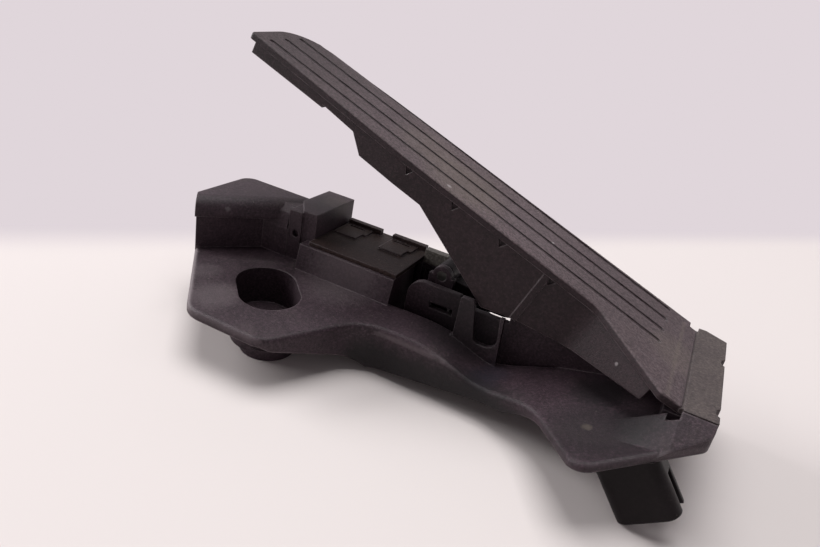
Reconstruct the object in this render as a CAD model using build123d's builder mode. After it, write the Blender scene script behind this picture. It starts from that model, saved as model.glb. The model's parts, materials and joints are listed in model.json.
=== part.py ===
from build123d import *
import os
from math import cos, hypot, radians, sin

# Floor-hinged accelerator pedal module.
# X runs from the toe end to the heel end, Y from the near (brake pedal) side to the far side, Z is up.
# The origin is the toe bolt's axis where it meets the floor, and the module stands on z = 0.

# Stance of the pedal
hinge_x = 172.0
hinge_z = 44.0
hinge_near_y = 10.0
hinge_length = 70.0
hinge_bead_radius = 1.2
hinge_clearance = 0.15
tread_angle = 20.3
tread_travel = 16.0

# Tread plate
tread_length = 240.0
tread_near_y = 34.0
tread_far_y = 84.5
tread_heel_step = 4.2
tread_thickness = 3.0
tread_tip_radius = 22.0
tread_tip_near_y = 39.5
tread_tip_far_y = 81.0
tread_waist = 145.0
tread_edge_radius = 1.0
flare_start = 43.0
flare_near_y = 9.0
flare_end = 9.0
groove_width = 3.0
groove_depth = 0.6
groove_count = 4
groove_first_y = 45.0
groove_pitch = 11.7
groove_heel_margin = 15.0
groove_tip_margin = 7.0

# Webs under the tread
web_wall = 2.5
near_web_y = 36.8
far_web_y = 81.5
web_tip_inset = 2.5
skirt_depth = 7.2
skirt_tip_depth = 8.2
skirt_nick = 1.4
skirt_nick_along = 192.0
step_along = 173.0
step_run = 8.0
step_depth = 13.8
lever_start_along = 129.0
lever_along = 81.0
lever_depth = 34.5
lever_heel_along = 67.0
lever_heel_depth = 29.0
flare_depth = 23.2
skirt_end_along = 12.5
skirt_end_y = 11.9
skirt_end_depth = 8.0
skirt_heel_margin = 11.0
station_pitch = 25.6
station_first = 64.6
station_count = 4
station_rib_wall = 2.0
station_rib_depth = 7.0
notch_width = 6.0
notch_depth = 4.5
stiffener_wall = 3.0
stiffener_height = 0.6

# Drive nose that presses on the rocker
nose_x = 90.0
nose_z = 37.0
nose_radius = 4.0
nose_near_y = 60.0
nose_far_y = 67.0
nose_rib_toe = 116.0
nose_rib_heel = 64.0
nose_rib_knee = 104.0
nose_rib_knee_depth = 19.0
stop_along = 186.0
stop_rib_wall = 6.0
stop_gap = 0.3

# Base moulding
wall = 3.0
lobe_top = 24.0
lobe_underside = 20.0
toe_end_x = -64.0
toe_far_y = 60.0
toe_near_y = 22.0
toe_corner_x = -59.5
toe_corner_y = 16.0
lobe_toe_x = -22.0
lobe_heel_x = 17.5
neck_toe_x = 40.0
neck_toe_y = 14.0
neck_heel_x = 100.0
heel_bay_x = 122.0
heel_bay_y = 7.0
neck_start_x = 37.0
neck_end_x = 80.0
neck_drop = 2.5
saddle_x = 97.0
saddle_drop = 7.5
tray_start_x = 110.0
tray_start_drop = 5.0
tray_thickness = 3.2
heel_reach = 11.0
heel_x = hinge_x + heel_reach
tray_heel_z = 38.5
skirt_toe_x = 16.0
skirt_low_x = 45.0
skirt_low_z = 2.5
skirt_heel_x = 110.0
skirt_heel_z = 11.5
skirt_end_x = 128.0
rim_radius = 2.0
lobe_near_y = -29.5
neck_near_y = 13.0
heel_lobe_x = 146.0
heel_lobe_near_y = -26.0
heel_corner_reach = 1.5
heel_corner_x = heel_x + heel_corner_reach
heel_corner_y = 4.0
trough_near_y = 36.0
trough_heel_gap = 12.0
trough_heel_x = hinge_x - trough_heel_gap
trough_heel_y = 52.0
trough_turn_x = 97.0
trough_floor_z = 1.5
trough_floor_thickness = 2.5
base_far_y = 85.0
rail_wall = 3.0
rail_top = 11.0
ramp_length = 22.0
ramp_toe_x = hinge_x - ramp_length
ramp_near_y = -12.0
ramp_low_z = 31.3
ramp_pocket_length = 4.1
ramp_pocket_near_y = 5.5
ramp_pocket_z = 39.5

# Toe bolt
bolt_radius = 3.3
sleeve_wall = 1.7
sleeve_clearance = 0.02
boss_radius = 12.5
well_floor_z = 5.0
well_length = 41.0
well_width = 28.0
well_angle = -45.0
well_offset = 12.0
well_wall = 2.5

# Sensor box and lid
box_toe_x = -12.0
box_heel_x = 41.0
box_near_y = 34.0
box_draft = 2.5
box_far_y = 78.0
box_top = 36.5
box_wall = 2.5
lid_thickness = 2.2
lid_near_y = 38.0
lid_plug_depth = 1.5
lid_plug_wall = 1.5
lid_clearance = 0.15
seal_width = 1.3
seal_height = 1.0
seal_offset = 0.5
seal_clearance = 0.05
strap_height = 0.9
strap_near_y = 58.0
strap_step_y = 65.0
strap_starts = (-6.5, 20.0)
strap_length = 15.0
strap_step = 13.0
strap_slot_y = 70.0
strap_slot_length = 9.5
strap_slot_width = 1.6
strap_slot_margin = 2.0
rail_bar_near_y = 73.0
rail_bar_width = 3.0
rail_bar_height = 3.0
rail_bar_length = 19.5
lug_radius = 4.2
lug_hole_radius = 1.8
lug_width = 3.4
lug_near_y = 74.0

# Hood and stop post
hood_top = 50.5
hood_slab = 9.0
hood_roll_radius = 8.0
hood_toe_x = toe_end_x - 0.5
hood_far_y = toe_far_y + 0.3
hood_far_radius = 6.0
hood_corner_x = -57.5
hood_corner_y = 12.5
hood_lip_x = -56.0
hood_lip_y = 16.5
hood_brow_x = -37.0
hood_brow_y = 36.0
hood_wall_x = -38.5
hood_wall_y = 41.5
facet_low_z = 38.5
facet_top_y = 44.0
facet_top_z = 46.5
facet_back_y = 48.0
block_top = 49.5
panel_toe_x = -23.4
panel_y = 42.0
panel_top = 49.8
panel_slit_width = 0.9
panel_slit_depth = 3.0
panel_slit_z = 39.0
panel_hole_x = -19.1
panel_hole_z = 38.0
panel_hole_radius = 1.9
post_toe_x = -24.0
post_heel_x = -8.0
post_top = 51.0
post_near_y = 43.0
post_far_y = 78.0
post_corner_x = -16.0
post_corner_y = 54.0

# Rocker
pivot_x = 57.5
pivot_z = 38.7
pivot_pin_radius = 2.5
pivot_ear_radius = 4.9
ear_wall = 3.0
near_ear_y = 54.0
far_ear_y = 77.0
ear_foot_width = 13.0
running_gap = 0.3
bush_wall = 0.8
bush_length = 4.5
bush_clearance = 0.03
rocker_ratio = 2.0
cam_gap = 0.3
arm_near_y = 59.0
arm_far_y = 68.0
arm_reach = 47.5
arm_tip_thickness = 4.0
cam_steps = 6
cam_overrun = 1.03
arm_underside_z = 27.5
arm_pad = 2.5
magnet_arm_reach = 32.0
magnet_arm_angle = 232.0
magnet_arm_height = 4.4
magnet_arm_near_y = 61.5
magnet_arm_far_y = 66.0
magnet_radius = 3.0
magnet_thickness = 2.0
magnet_rim = 0.8
magnet_floor_gap = 0.6837
shoe_near_y = 69.0
shoe_far_y = 73.4
shoe_height = 7.0
shoe_ledge = 2.5
shoe_clearance = 0.05

# Return springs
spring_x = 76.0
spring_y = 63.5
outer_spring_radius = 6.4
outer_wire_radius = 0.8
outer_turns = 4.0
inner_spring_radius = 3.8
inner_wire_radius = 0.6
inner_turns = 5.0
wire_sides = 6
seat_wall = 1.2
seat_base = 1.6
seat_rim = 3.0
spring_gap = 0.1

# Sensor board
board_y = 55.0
board_thickness = 1.6
board_end_gap = 0.2
board_guide_gap = 0.1
board_height = 22.0
chip_size = 5.0
chip_thickness = 1.2
chip_pitch = 9.0
chip_x = 29.0
chip_z = 20.0
board_guide = 1.8

# Walls beside the trough: cheek, inner wall, and the near wall with its tab and cradle
cheek_near_y = 43.0
cheek_wall = 3.0
cheek_toe_x = 46.0
cheek_heel_x = 73.0
cheek_top = 38.0
cheek_radius = 8.0
cheek_heel_radius = 1.5
cheek_slot_height = 3.0
cheek_slot_length = 12.0
cheek_slot_z = 28.0
inner_low = 33.8
inner_step_x = 97.0
inner_top = 40.0
inner_fall_x = 130.0
inner_heel = 34.0
near_wall = 2.6
kerb_top = 23.7
kerb_toe_x = 70.0
tab_toe_x = 75.5
tab_top = 43.0
tab_top_width = 6.4
tab_foot_width = 10.0
tab_radius = 1.0
cradle_heel_x = 96.4
cradle_top_x = 94.8
cradle_rim = 1.8
cradle_top = 39.7
cradle_toe_radius = 3.0
cradle_radius = 5.0

# Heel clip
clip_thickness = 3.4
clip_toe_gap = 0.6
clip_near_y = flare_near_y
clip_far_y = 84.0
lip_thickness = 1.8
lip_low_z = 36.0
clip_chamfer_run = 9.0
clip_chamfer = 5.0
clip_notch_width = 6.0
clip_notch_depth = 1.5
clip_notches = (13.5, 55.0)
ridge_reach = 6.0
ridge_toe_x = hinge_x - ridge_reach

# Plug socket
socket_lean = 38.0
socket_width = 24.0
socket_depth = 16.0
socket_near_y = -10.0
socket_corner = 5.0
socket_wall = 2.0
socket_length = 34.0
socket_cavity = 17.0
socket_reach = 18.0
socket_left_x = heel_x - socket_reach
socket_foot_z = 0.0
socket_slot_width = 4.0
socket_slot_length = 15.0
terminal_width = 2.2
terminal_thickness = 0.8
terminal_length = 9.0
terminal_columns = 3
terminal_rows = 2
terminal_pitch_x = 5.0
terminal_pitch_y = 5.0

# Worked out from the sizes above
tread_top = hinge_bead_radius
tread_under = tread_top - tread_thickness
pressed_angle = tread_angle - tread_travel
hinge_far_y = hinge_near_y + hinge_length
sleeve_radius = bolt_radius + sleeve_wall
lid_top = box_top + lid_thickness
ridge_top = hinge_z + hinge_bead_radius - clip_thickness
floor_top = trough_floor_z + trough_floor_thickness
hub_near_y = near_ear_y + ear_wall + running_gap
hub_far_y = far_ear_y - ear_wall - running_gap
magnet_x = pivot_x + magnet_arm_reach * cos(radians(magnet_arm_angle))
magnet_z = pivot_z + magnet_arm_reach * sin(radians(magnet_arm_angle))
box_floor_z = magnet_z - magnet_radius - magnet_rim - magnet_floor_gap
cavity_toe_x = post_heel_x + box_wall + lid_clearance
cavity_heel_x = box_heel_x - box_wall
cavity_near_y = lid_near_y + box_wall
cavity_far_y = box_far_y - box_wall
tray_start_z = lobe_top - tray_start_drop
tray_slope = (tray_heel_z - tray_start_z) / (heel_x - tray_start_x)
stop_low_along = stop_along - stop_rib_wall / 2
stop_rise = hinge_z + stop_low_along * sin(radians(pressed_angle)) - post_top - stop_gap
stop_depth = stop_rise / cos(radians(pressed_angle))
clip_top = hinge_z + hinge_bead_radius
clip_heel_x = heel_x + lip_thickness
tall = 200.0

tread_plane = Plane(
    origin=(hinge_x, 0, hinge_z),
    x_dir=(cos(radians(tread_angle)), 0, -sin(radians(tread_angle))),
    z_dir=(sin(radians(tread_angle)), 0, cos(radians(tread_angle))),
)


def side_plane(far_y):
    """Upright plane through far_y whose normal points to the near side."""
    return Plane(origin=(0, far_y, 0), x_dir=(1, 0, 0), z_dir=(0, -1, 0))


def web_plane(far_y):
    """Upright plane through far_y: its x runs along the tread and its y square to the tread."""
    return Plane(origin=(hinge_x, far_y, hinge_z), x_dir=tread_plane.x_dir, z_dir=(0, -1, 0))


def outline(plane, points, radius=0, inset=0):
    """Closed straight-sided face with rounded corners, drawn in all round by inset."""
    with BuildSketch(plane) as face:
        with BuildLine():
            FilletPolyline(*points, radius=radius, close=True)
        make_face()
        if inset:
            offset(amount=-inset, kind=Kind.INTERSECTION)
    return face.sketch


def rectangle_points(x_low, x_high, y_low, y_high):
    """Corners of an upright rectangle."""
    return [(x_low, y_low), (x_high, y_low), (x_high, y_high), (x_low, y_high)]


def turned(x, z, angle):
    """A point of the side view turned anticlockwise about the origin."""
    c = cos(radians(angle))
    s = sin(radians(angle))
    return x * c - z * s, x * s + z * c


def nose_from_rocker(share):
    """Where the nose's centre is seen from the pivot, by a watcher who turns with the rocker."""
    press = share * tread_travel
    nose = turned(nose_x - hinge_x, nose_z - hinge_z, press)
    return turned(hinge_x + nose[0] - pivot_x, hinge_z + nose[1] - pivot_z, rocker_ratio * press)


def cam_point(share):
    """Point of the cam face under the nose: the nose's path moved down by its radius and the gap."""
    here = nose_from_rocker(share)
    before = nose_from_rocker(share - 0.01)
    after = nose_from_rocker(share + 0.01)
    step = hypot(after[0] - before[0], after[1] - before[1])
    reach = nose_radius + cam_gap
    x = here[0] + reach * (after[1] - before[1]) / step
    z = here[1] - reach * (after[0] - before[0]) / step
    return pivot_x + x, pivot_z + z


def flange_section(drop, below, heel_end):
    """Side view of the base flange, its top lowered by drop and its underside by below."""
    with BuildSketch(side_plane(base_far_y)) as face:
        with BuildLine():
            lobe = Line((toe_end_x - wall, lobe_top - drop), (neck_start_x, lobe_top - drop))
            neck = Spline(
                lobe @ 1,
                (neck_end_x, lobe_top - neck_drop - drop),
                (saddle_x, lobe_top - saddle_drop - drop),
                (tray_start_x, tray_start_z - drop),
                tangents=[(1, 0), (1, tray_slope)],
            )
            tray = Line(neck @ 1, neck @ 1 + Vector(1, tray_slope) * (heel_end - tray_start_x))
            skirt_end = min(skirt_end_x, heel_end - wall)
            skirt_end_z = tray_start_z + tray_slope * (skirt_end - tray_start_x) - tray_thickness
            Polyline(
                tray @ 1,
                tray @ 1 - Vector(0, tray_thickness - drop + below),
                (skirt_end, skirt_end_z - below),
                (skirt_heel_x, skirt_heel_z - below),
                (skirt_low_x, skirt_low_z - below),
                (skirt_toe_x, lobe_underside - below),
                (toe_end_x - wall, lobe_underside - below),
                lobe @ 0,
            )
        make_face()
    return face.sketch


# Plan of the base flange
flange_points = [
    (toe_end_x, toe_far_y),
    (toe_end_x, toe_near_y),
    (toe_corner_x, toe_corner_y),
    (lobe_toe_x, lobe_near_y),
    (lobe_heel_x, lobe_near_y),
    (neck_toe_x, neck_toe_y),
    (neck_heel_x, neck_near_y),
    (heel_bay_x, heel_bay_y),
    (heel_lobe_x, heel_lobe_near_y),
    (heel_corner_x, heel_corner_y),
    (heel_corner_x, clip_near_y - running_gap),
    (heel_x, clip_near_y - running_gap),
    (heel_x, trough_heel_y),
    (trough_heel_x, trough_heel_y),
    (trough_turn_x, trough_near_y),
    (box_toe_x, trough_near_y),
    (post_toe_x, toe_far_y),
]
flange_radii = [0, 0, 4, 14, 10, 20, 30, 20, 7, 5, 0, 0, 0, 0, 0, 0, 0]
flange_low = Plane.XY.offset(-tall / 2)

# Hollow under the flange
with BuildPart() as flange_core:
    extrude(flange_section(wall, 2 * lobe_top, skirt_end_x - wall), amount=tall)
    extrude(outline(flange_low, flange_points, flange_radii, wall), amount=tall, mode=Mode.INTERSECT)

# Ramp from the heel tray up to the heel clip's near end
tray_low_z = tray_start_z - tray_thickness
above_tray = [
    (tray_start_x, tray_low_z),
    (tray_start_x + tall, tray_low_z + tray_slope * tall),
    (tray_start_x, tray_low_z + tall),
]
ramp_far_y = clip_near_y - 2 * running_gap
ramp_top = clip_top - running_gap
ramp_start_z = tray_start_z + tray_slope * (ramp_toe_x - tray_start_x) - running_gap


def ramp_section(x, near_z, far_z):
    """Upright section across the ramp at x."""
    corners = [
        (ramp_near_y, trough_floor_z),
        (ramp_near_y, near_z),
        (ramp_far_y, far_z),
        (ramp_far_y, trough_floor_z),
    ]
    return outline(Plane.YZ.offset(x), corners)


ramp_start = ramp_section(ramp_toe_x, ramp_start_z, ramp_start_z)
ramp_full = ramp_section(hinge_x, ramp_low_z, ramp_top)
with BuildPart() as heel_ramp:
    loft([ramp_start, ramp_full], ruled=True)
    extrude(ramp_full, amount=heel_corner_x - hinge_x)
    extrude(outline(flange_low, flange_points, flange_radii), amount=tall, mode=Mode.INTERSECT)
    extrude(outline(side_plane(tall / 2), above_tray), amount=tall, mode=Mode.INTERSECT)

# Hood beside the toe lobe: a slab with a rolled near edge, over a wall that stands further back
hood_low = hood_top - hood_slab
hood_along = Vector(hood_brow_x - hood_lip_x, hood_brow_y - hood_lip_y, 0).normalized()
hood_roll_plane = Plane(
    origin=(hood_lip_x, hood_lip_y, 0),
    x_dir=(-hood_along.Y, hood_along.X, 0),
    z_dir=hood_along,
)
roll_section = [(0, hood_low), (0, hood_top), (tall, hood_top), (tall, hood_low)]
hood_slab_points = [
    (hood_toe_x, hood_far_y),
    (hood_toe_x, toe_near_y),
    (hood_corner_x, hood_corner_y),
    (post_corner_x, hood_corner_y),
    (post_corner_x, hood_far_y),
]
with BuildPart() as hood:
    extrude(outline(hood_roll_plane, roll_section, [0, hood_roll_radius, 0, 0]), amount=tall, both=True)
    hood_plan = outline(Plane.XY.offset(hood_low), hood_slab_points, [hood_far_radius, 0, 0, 0, 0])
    extrude(hood_plan, amount=hood_slab, mode=Mode.INTERSECT)
hood_wall_points = [
    (toe_end_x, toe_far_y),
    (toe_end_x, toe_near_y),
    (toe_corner_x, toe_corner_y),
    (hood_wall_x, hood_wall_y),
    (hood_wall_x, toe_far_y),
]
block_section = [
    (hood_wall_y, lobe_top - wall),
    (hood_wall_y, facet_low_z),
    (facet_top_y, facet_top_z),
    (facet_back_y, block_top),
    (toe_far_y, block_top),
    (toe_far_y, lobe_top - wall),
]
panel_section = rectangle_points(panel_y, toe_far_y, lobe_top - wall, panel_top)
hood_room_points = [
    (toe_end_x, toe_far_y),
    (toe_end_x, toe_near_y),
    (toe_corner_x, toe_corner_y),
    (hood_wall_x, hood_wall_y),
    (post_toe_x, hood_wall_y),
    (post_toe_x, toe_far_y),
]

# Post that the tread's stop rib lands on
post_points = [
    (post_corner_x, post_near_y),
    (post_heel_x, post_near_y),
    (post_heel_x, post_far_y),
    (post_toe_x, post_far_y),
    (post_toe_x, post_corner_y),
]

well_x = -well_offset * cos(radians(well_angle))
well_y = -well_offset * sin(radians(well_angle))

# Base moulding
with BuildPart() as base_housing:
    extrude(flange_section(0, 0, heel_corner_x), amount=tall)
    extrude(outline(flange_low, flange_points, flange_radii), amount=tall, mode=Mode.INTERSECT)
    top_faces = base_housing.faces().filter_by(lambda f: f.normal_at().Z > 0.6)
    near_edges = top_faces.edges().filter_by(lambda e: e.center().Y < toe_corner_y)
    near_rim = near_edges.filter_by(lambda e: e.center().X < heel_x)
    fillet(near_rim.filter_by(Axis.Y, reverse=True), radius=rim_radius)
    add(flange_core.part, mode=Mode.SUBTRACT)

    # Heel ramp, with a pocket beside the hinge's near end
    add(heel_ramp.part)
    pocket = rectangle_points(
        hinge_x - ramp_pocket_length,
        hinge_x + running_gap,
        ramp_pocket_near_y,
        ramp_far_y,
    )
    extrude(outline(Plane.XY.offset(ramp_pocket_z), pocket), amount=tall, mode=Mode.SUBTRACT)

    # Bolt well with its tub and boss
    with BuildSketch(Plane.XY.offset(well_floor_z - well_wall)):
        with Locations((well_x, well_y)):
            SlotOverall(well_length + 2 * well_wall, well_width + 2 * well_wall, rotation=well_angle)
    extrude(amount=lobe_top - wall - well_floor_z + well_wall)
    with BuildSketch():
        Circle(boss_radius)
    extrude(amount=well_floor_z)
    with BuildSketch(Plane.XY.offset(well_floor_z)):
        with Locations((well_x, well_y)):
            SlotOverall(well_length, well_width, rotation=well_angle)
    extrude(amount=tall, mode=Mode.SUBTRACT)
    with BuildSketch():
        Circle(sleeve_radius + sleeve_clearance)
    extrude(amount=well_floor_z, mode=Mode.SUBTRACT)

    # Hood with its block and panel, and the stop post, both open underneath
    hood_foot = Plane.XY.offset(lobe_top - wall)
    extrude(outline(hood_foot, hood_wall_points), amount=hood_low - lobe_top + 2 * wall)
    add(hood.part)
    extrude(outline(Plane.YZ.offset(hood_wall_x), block_section), amount=panel_toe_x - hood_wall_x)
    extrude(outline(Plane.YZ.offset(panel_toe_x), panel_section), amount=post_corner_x - panel_toe_x)
    extrude(outline(Plane.XY.offset(trough_floor_z), post_points), amount=post_top - trough_floor_z)
    extrude(outline(Plane.XY, hood_room_points, inset=wall), amount=hood_low + wall / 2, mode=Mode.SUBTRACT)
    extrude(outline(Plane.XY, post_points, inset=wall), amount=post_top - wall, mode=Mode.SUBTRACT)
    slit = rectangle_points(
        panel_toe_x - panel_slit_width,
        panel_toe_x,
        hood_wall_y,
        hood_wall_y + panel_slit_depth,
    )
    extrude(outline(Plane.XY.offset(panel_slit_z), slit), amount=tall, mode=Mode.SUBTRACT)
    with BuildSketch(side_plane(panel_y + panel_slit_depth)):
        with Locations((panel_hole_x, panel_hole_z)):
            Circle(panel_hole_radius)
    extrude(amount=panel_slit_depth, mode=Mode.SUBTRACT)

    # Sensor box, its near wall leaning in
    box_section = [
        (box_near_y, trough_floor_z),
        (box_near_y, lobe_top),
        (box_near_y + box_draft, box_top),
        (box_far_y, box_top),
        (box_far_y, trough_floor_z),
    ]
    extrude(outline(Plane.YZ.offset(box_toe_x), box_section), amount=box_heel_x - box_toe_x)
    cavity_points = rectangle_points(cavity_toe_x, cavity_heel_x, cavity_near_y, cavity_far_y)
    extrude(outline(Plane.XY.offset(box_floor_z), cavity_points), amount=tall, mode=Mode.SUBTRACT)
    for guide_y in (board_y - board_guide_gap - board_guide, board_y + board_thickness + board_guide_gap):
        for guide_x in (cavity_toe_x, cavity_heel_x - board_guide):
            guide = rectangle_points(guide_x, guide_x + board_guide, guide_y, guide_y + board_guide)
            extrude(outline(Plane.XY.offset(box_floor_z), guide), amount=board_height)

    # Trough floor, far rail and heel end
    floor_points = rectangle_points(box_heel_x, trough_heel_x, trough_near_y - wall, base_far_y)
    extrude(outline(Plane.XY.offset(trough_floor_z), floor_points), amount=trough_floor_thickness)
    link_points = rectangle_points(post_heel_x, box_heel_x, box_far_y - wall, base_far_y)
    extrude(outline(Plane.XY.offset(trough_floor_z), link_points), amount=trough_floor_thickness)
    rail_points = rectangle_points(post_heel_x, heel_x - 2 * wall, base_far_y - rail_wall, base_far_y)
    extrude(outline(Plane.XY, rail_points), amount=rail_top)
    ridge_points = rectangle_points(ridge_toe_x, heel_x, hinge_near_y, clip_far_y)
    extrude(outline(Plane.XY.offset(ridge_top - 2 * wall), ridge_points), amount=2 * wall)
    shelf_points = rectangle_points(trough_heel_x, heel_x, trough_near_y, clip_far_y)
    extrude(outline(Plane.XY.offset(ridge_top - 3 * wall), shelf_points), amount=wall)
    heel_wall_points = rectangle_points(trough_heel_x, trough_heel_x + wall, trough_near_y, base_far_y)
    extrude(outline(Plane.XY.offset(trough_floor_z), heel_wall_points), amount=ridge_top - 3 * wall)
    heel_foot = rectangle_points(trough_heel_x, heel_x - 2 * wall, base_far_y - 2 * wall, base_far_y)
    extrude(outline(Plane.XY, heel_foot), amount=ridge_top - 2 * wall)

    # Pivot ears, the ledge under the friction shoe and the near cheek
    for ear_y in (near_ear_y + ear_wall, far_ear_y):
        with BuildSketch(side_plane(ear_y)):
            with Locations((pivot_x, (pivot_z + floor_top) / 2)):
                Rectangle(ear_foot_width, pivot_z - floor_top)
            with Locations((pivot_x, pivot_z)):
                Circle(pivot_ear_radius)
        extrude(amount=ear_wall)
    shoe_low_z = pivot_z - shoe_height / 2
    ledge_heel_x = pivot_x - pivot_ear_radius - running_gap
    ledge = rectangle_points(box_heel_x, ledge_heel_x, shoe_low_z - shoe_ledge, shoe_low_z)
    extrude(outline(side_plane(shoe_far_y), ledge), amount=shoe_far_y - shoe_near_y)
    lug_z = lid_top - lug_radius + 2 * lid_clearance
    back_wall = rectangle_points(
        box_heel_x,
        pivot_x,
        floor_top,
        lug_z - lug_radius - running_gap,
    )
    extrude(outline(side_plane(far_ear_y), back_wall), amount=ear_wall)
    cheek_plane = side_plane(cheek_near_y + cheek_wall)
    cheek_points = rectangle_points(cheek_toe_x, cheek_heel_x, floor_top, cheek_top)
    extrude(outline(cheek_plane, cheek_points, [0, 0, cheek_heel_radius, cheek_radius]), amount=cheek_wall)
    with BuildSketch(cheek_plane):
        with Locations((cheek_heel_x - cheek_slot_length / 2 - cheek_wall, cheek_slot_z)):
            Rectangle(cheek_slot_length, cheek_slot_height)
    extrude(amount=cheek_wall, mode=Mode.SUBTRACT)

    # Inner wall of the trough, in line with the cheek
    inner_points = [
        (cheek_heel_x, trough_floor_z),
        (cheek_heel_x, inner_low),
        (inner_step_x, inner_low),
        (inner_step_x, inner_top),
        (inner_fall_x, inner_top),
        (trough_heel_x, inner_heel),
        (trough_heel_x, trough_floor_z),
    ]
    extrude(outline(cheek_plane, inner_points), amount=cheek_wall)

    # Near wall with the guide tab and the round-bottomed cradle beside it
    near_points = [
        (kerb_toe_x, skirt_heel_z),
        (kerb_toe_x, lobe_top - neck_drop),
        (tab_toe_x, kerb_top),
        (tab_toe_x, tab_top),
        (tab_toe_x + tab_top_width, tab_top),
        (tab_toe_x + tab_foot_width, kerb_top),
        (cradle_heel_x, kerb_top),
        (cradle_top_x, cradle_top),
        (cradle_top_x + cradle_rim, cradle_top),
        (cradle_heel_x + cradle_rim, skirt_heel_z),
    ]
    near_radii = [0, 0, 0, tab_radius, tab_radius, cradle_toe_radius, cradle_radius, 0, 0, 0]
    extrude(outline(side_plane(trough_near_y - running_gap), near_points, near_radii), amount=near_wall)

    # Pin bores, and the window the magnet arm reaches through
    with BuildSketch(side_plane(far_ear_y)):
        with Locations((pivot_x, pivot_z)):
            Circle(pivot_pin_radius)
    extrude(amount=far_ear_y - near_ear_y, mode=Mode.SUBTRACT)
    window_near_y = magnet_arm_near_y - magnet_thickness - running_gap
    window = rectangle_points(window_near_y, shoe_near_y - running_gap, box_floor_z, box_top)
    extrude(outline(Plane.YZ.offset(cavity_heel_x), window), amount=box_wall, mode=Mode.SUBTRACT)

# Steel sleeve that carries the bolt's clamp load
with BuildPart() as mounting_sleeve:
    with BuildSketch():
        Circle(sleeve_radius)
        Circle(bolt_radius, mode=Mode.SUBTRACT)
    extrude(amount=well_floor_z)

# Lid of the sensor box
lid_toe_x = post_heel_x + lid_clearance
lid_points = rectangle_points(lid_toe_x, box_heel_x, lid_near_y, box_far_y)
plug_points = rectangle_points(
    cavity_toe_x + lid_clearance,
    cavity_heel_x - lid_clearance,
    cavity_near_y + lid_clearance,
    cavity_far_y - lid_clearance,
)
with BuildPart() as sensor_lid:
    extrude(outline(Plane.XY.offset(box_top), lid_points), amount=lid_thickness)
    extrude(outline(Plane.XY.offset(box_top - lid_plug_depth), plug_points), amount=lid_plug_depth)
    extrude(
        outline(Plane.XY.offset(box_top - lid_plug_depth), plug_points, inset=lid_plug_wall),
        amount=lid_plug_depth,
        mode=Mode.SUBTRACT,
    )
    for start in strap_starts:
        strap = [
            (start, strap_near_y),
            (start + strap_step, strap_near_y),
            (start + strap_step, strap_step_y),
            (start + strap_length, strap_step_y),
            (start + strap_length, box_far_y),
            (start, box_far_y),
        ]
        extrude(outline(Plane.XY.offset(lid_top), strap), amount=strap_height)
        slot = rectangle_points(
            start + strap_slot_margin,
            start + strap_slot_margin + strap_slot_length,
            strap_slot_y,
            strap_slot_y + strap_slot_width,
        )
        extrude(outline(Plane.XY.offset(lid_top), slot), amount=strap_height, mode=Mode.SUBTRACT)
        bar = rectangle_points(
            start,
            start + rail_bar_length,
            rail_bar_near_y,
            rail_bar_near_y + rail_bar_width,
        )
        extrude(outline(Plane.XY.offset(lid_top), bar), amount=rail_bar_height)

    # Lug that hooks over at the heel end
    with BuildSketch(side_plane(lug_near_y + lug_width)):
        with Locations((box_heel_x + lug_radius, lug_z)):
            Circle(lug_radius)
            Circle(lug_hole_radius, mode=Mode.SUBTRACT)
    extrude(amount=lug_width)
    lug_root = rectangle_points(cavity_heel_x, box_heel_x + lug_radius - lug_hole_radius, box_top, lid_top)
    extrude(outline(side_plane(lug_near_y + lug_width), lug_root), amount=lug_width)

    # Groove for the seal
    extrude(
        outline(Plane.XY.offset(box_top), cavity_points, inset=-(seal_offset + seal_width + seal_clearance)),
        amount=seal_height,
        mode=Mode.SUBTRACT,
    )
    extrude(
        outline(Plane.XY.offset(box_top), cavity_points, inset=-(seal_offset - seal_clearance)),
        amount=seal_height,
    )

# Rubber ring between the lid and the box
with BuildPart() as lid_seal:
    extrude(
        outline(Plane.XY.offset(box_top), cavity_points, inset=-(seal_offset + seal_width)),
        amount=seal_height,
    )
    extrude(
        outline(Plane.XY.offset(box_top), cavity_points, inset=-seal_offset),
        amount=seal_height,
        mode=Mode.SUBTRACT,
    )

# Circuit board standing in its guides
with BuildPart() as circuit_board:
    board_points = rectangle_points(
        cavity_toe_x + board_end_gap,
        cavity_heel_x - board_end_gap,
        box_floor_z,
        box_floor_z + board_height,
    )
    extrude(outline(side_plane(board_y + board_thickness), board_points), amount=board_thickness)

# Position sensors on the board, facing the magnet's path
with BuildPart() as sensor_chips:
    with BuildSketch(side_plane(board_y + board_thickness + chip_thickness)):
        with Locations((chip_x - chip_pitch / 2, chip_z), (chip_x + chip_pitch / 2, chip_z)):
            Rectangle(chip_size, chip_size)
    extrude(amount=chip_thickness)

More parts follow.
